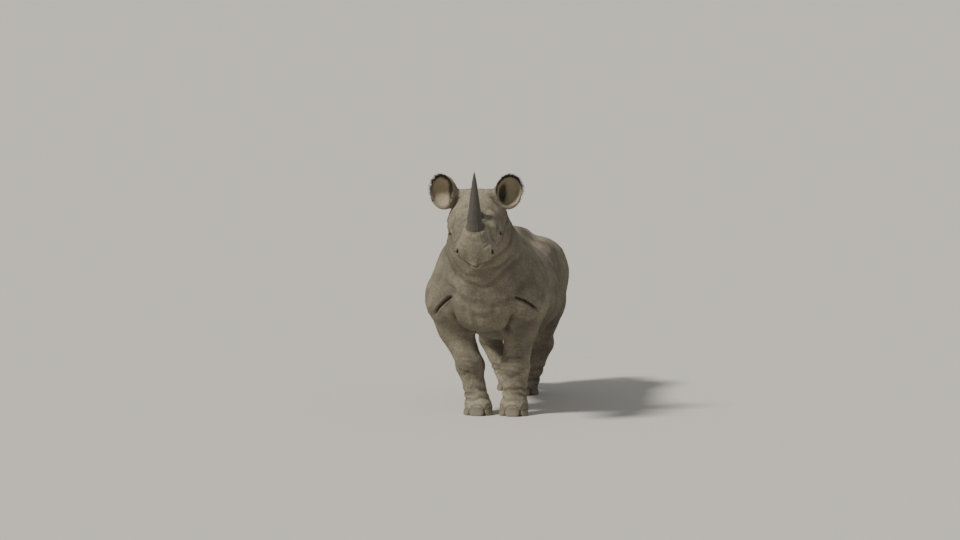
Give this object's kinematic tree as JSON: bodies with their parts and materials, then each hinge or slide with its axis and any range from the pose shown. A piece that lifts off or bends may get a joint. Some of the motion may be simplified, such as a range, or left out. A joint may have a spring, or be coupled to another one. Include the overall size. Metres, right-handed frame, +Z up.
{
  "type": "black rhinoceros model",
  "caption": "Life-size still model of a standing black rhinoceros, facing ahead with its head raised, ears forward and long front horn upright.",
  "frame": {"origin": "middle of the underside of the bounding box, at floor level under the belly", "axes": "+Y from head to tail, so the animal faces -Y; +X to the animal's left; +Z up"},
  "size_m": [1.0006, 3.2454, 2.0225],
  "materials": {
    "hide": "dry matt hide, grey-brown under a dusting of tan mud",
    "horn": "keratin, dull grey-brown, frayed at the base and smoother at the tip",
    "nail": "keratin, dull and dusty",
    "eye": "wet gloss, near black",
    "brush": "coarse dark hair"
  },
  "bodies": {
    "root": {"barrel": "hide", "chest": "hide", "ear_left": "hide", "ear_right": "hide", "eye_left": "eye", "eye_right": "eye", "foreleg_left_foot": "hide", "foreleg_left_nail_front": "nail", "foreleg_left_nail_inner": "nail", "foreleg_left_nail_outer": "nail", "foreleg_left_shank": "hide", "foreleg_left_upper": "hide", "foreleg_right_foot": "hide", "foreleg_right_nail_front": "nail", "foreleg_right_nail_inner": "nail", "foreleg_right_nail_outer": "nail", "foreleg_right_shank": "hide", "foreleg_right_upper": "hide", "head": "hide", "hindleg_left_foot": "hide", "hindleg_left_nail_front": "nail", "hindleg_left_nail_inner": "nail", "hindleg_left_nail_outer": "nail", "hindleg_left_shank": "hide", "hindleg_left_upper": "hide", "hindleg_right_foot": "hide", "hindleg_right_nail_front": "nail", "hindleg_right_nail_inner": "nail", "hindleg_right_nail_outer": "nail", "hindleg_right_shank": "hide", "hindleg_right_upper": "hide", "horn_front": "horn", "horn_rear": "horn", "lower_jaw": "hide", "neck": "hide", "rump": "hide", "tail": "hide", "tail_brush": "brush"}
  },
  "joints": []
}
